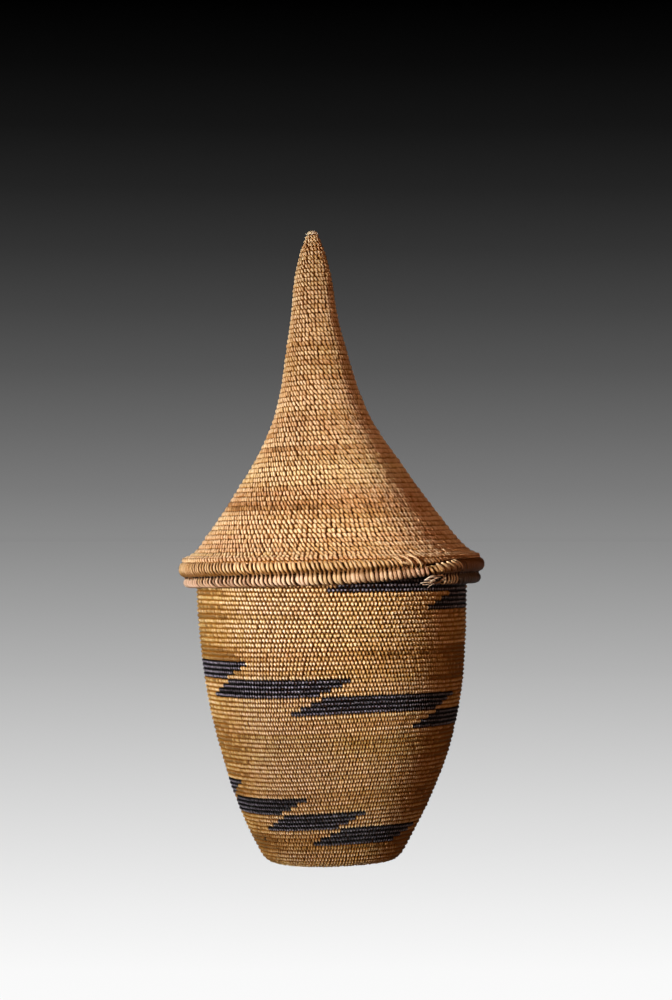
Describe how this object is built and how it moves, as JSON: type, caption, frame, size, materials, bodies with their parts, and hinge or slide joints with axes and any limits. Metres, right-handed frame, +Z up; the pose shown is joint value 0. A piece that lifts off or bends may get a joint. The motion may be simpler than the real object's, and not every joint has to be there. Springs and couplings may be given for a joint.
{
  "type": "coiled basket",
  "caption": "Lidded coiled basket: an upright body on a small flat foot and a loose lid that flares from a tall spire to a thick rolled rim, with dark stepped blocks winding round the body.",
  "frame": {"origin": "centre of the flat underside, on the surface that the basket stands on", "axes": "+Z up along the basket's axis and the lid's lift; -Y is the front shown in the picture; +X is to the right in it"},
  "size_m": [0.133, 0.133, 0.279],
  "materials": {
    "natural_coil": "sewn plant fibre, dry satin",
    "lid_coil": "sewn plant fibre, warmer and worn, dry satin",
    "dyed_stitch": "blue-black dyed plant fibre, faint sheen",
    "brown_splint": "golden brown split binding, satin",
    "pale_splint": "pale split binding, satin",
    "grass_bundle": "dry grass, matt"
  },
  "bodies": {
    "basket": {"base_start_whorl": "natural_coil", "floor_coil": "natural_coil", "wall_coil": "natural_coil", "mouth_coil": "natural_coil", "dark_block_01": "dyed_stitch", "dark_block_02": "dyed_stitch", "dark_block_03": "dyed_stitch", "dark_block_04": "dyed_stitch", "dark_block_05": "dyed_stitch", "dark_block_06": "dyed_stitch", "dark_block_07": "dyed_stitch", "dark_block_08": "dyed_stitch", "dark_block_09": "dyed_stitch", "dark_block_10": "dyed_stitch", "dark_block_11": "dyed_stitch", "dark_block_12": "dyed_stitch", "dark_block_13": "dyed_stitch", "dark_block_14": "dyed_stitch", "dark_block_15": "dyed_stitch", "dark_block_16": "dyed_stitch"},
    "lid": {"lid_coil": "lid_coil", "lid_start_knot": "pale_splint", "brown_rim_binding": "brown_splint", "pale_rim_binding": "pale_splint", "rim_foundation": "grass_bundle"}
  },
  "joints": [
    {"name": "lid_lift", "type": "slide", "parent": "basket", "child": "lid", "axis": [0, 0, 1], "range_m": [0, 0.15]}
  ]
}
